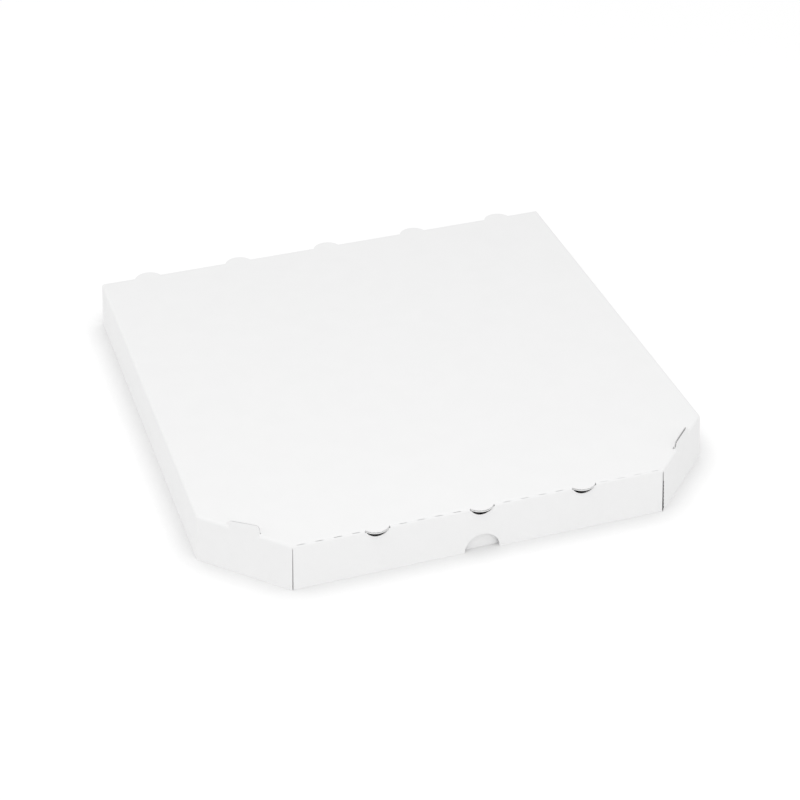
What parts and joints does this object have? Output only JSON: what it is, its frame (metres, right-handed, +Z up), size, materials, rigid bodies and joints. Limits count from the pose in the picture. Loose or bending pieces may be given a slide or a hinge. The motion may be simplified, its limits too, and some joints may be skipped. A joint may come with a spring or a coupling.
{
  "type": "pizza box",
  "caption": "Flat square carton of white corrugated card with cut front corners, a hinged lid with outside walls, half-moon vents and a perforated front flap with a finger notch.",
  "frame": {"origin": "centre of the bottom, on the surface that the box lies on", "axes": "+Z up, the front flap faces -Y, the hinge fold is at +Y, +X to the right seen from the front"},
  "size_m": [0.324, 0.3292, 0.0368],
  "materials": {
    "white_card": "matte white paper liner"
  },
  "bodies": {
    "base": {"base_tray": "white_card"},
    "lid": {"lid": "white_card"},
    "front_flap": {"front_flap": "white_card"}
  },
  "joints": [
    {"name": "lid_hinge", "type": "hinge", "parent": "base", "child": "lid", "pos_m": [0, 0.16, 0.031], "axis": [-1, 0, 0], "range_deg": [0, 180]},
    {"name": "front_flap_hinge", "type": "hinge", "parent": "lid", "child": "front_flap", "pos_m": [0, -0.16, 0.031], "axis": [-1, 0, 0], "range_deg": [0, 90]}
  ]
}
